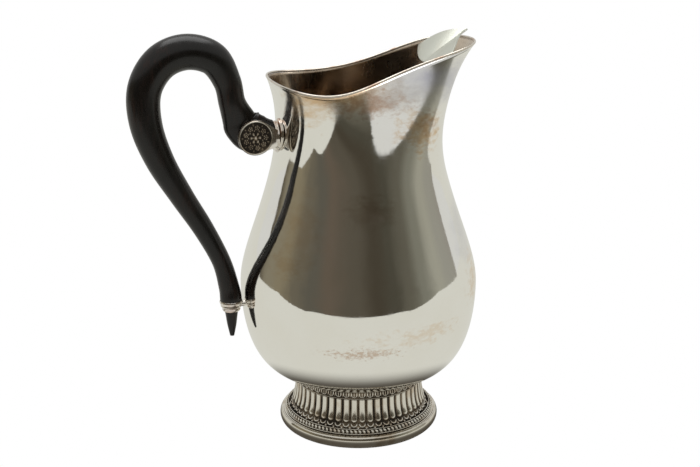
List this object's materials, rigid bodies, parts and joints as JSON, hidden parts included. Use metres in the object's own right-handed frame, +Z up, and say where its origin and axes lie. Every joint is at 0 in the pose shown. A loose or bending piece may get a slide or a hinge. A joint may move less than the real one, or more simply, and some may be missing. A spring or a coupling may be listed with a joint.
{
  "type": "water pitcher",
  "caption": "Pear-shaped silver water pitcher on an ornamented round foot, with a looped dark wood handle and an ice guard across its spout.",
  "frame": {"origin": "centre of the round foot, on the surface the pitcher stands on", "axes": "+Z up, +X towards the spout, -X towards the handle; the Y = 0 plane is the plane of symmetry"},
  "size_m": [0.1963, 0.136, 0.2335],
  "materials": {
    "silver": "polished silver plate with light tarnish and fine scratches",
    "silver_ornament": "chased silver plate, dark in its recesses",
    "ebonised_wood": "polished, near black with a red-brown undertone"
  },
  "bodies": {
    "root": {"body_shell": "silver", "rim_wire": "silver", "ice_guard": "silver", "foot_neck_band": "silver_ornament", "foot_spool": "silver_ornament", "foot_leaf_border": "silver_ornament", "foot_bead_band": "silver_ornament", "foot_base_ring": "silver", "upper_escutcheon": "silver_ornament", "handle_socket": "silver", "rosette_left": "silver_ornament", "rosette_right": "silver_ornament", "socket_pin": "silver", "handle_grip": "ebonised_wood", "lower_ferrule": "silver", "lower_peg": "silver"}
  },
  "joints": []
}
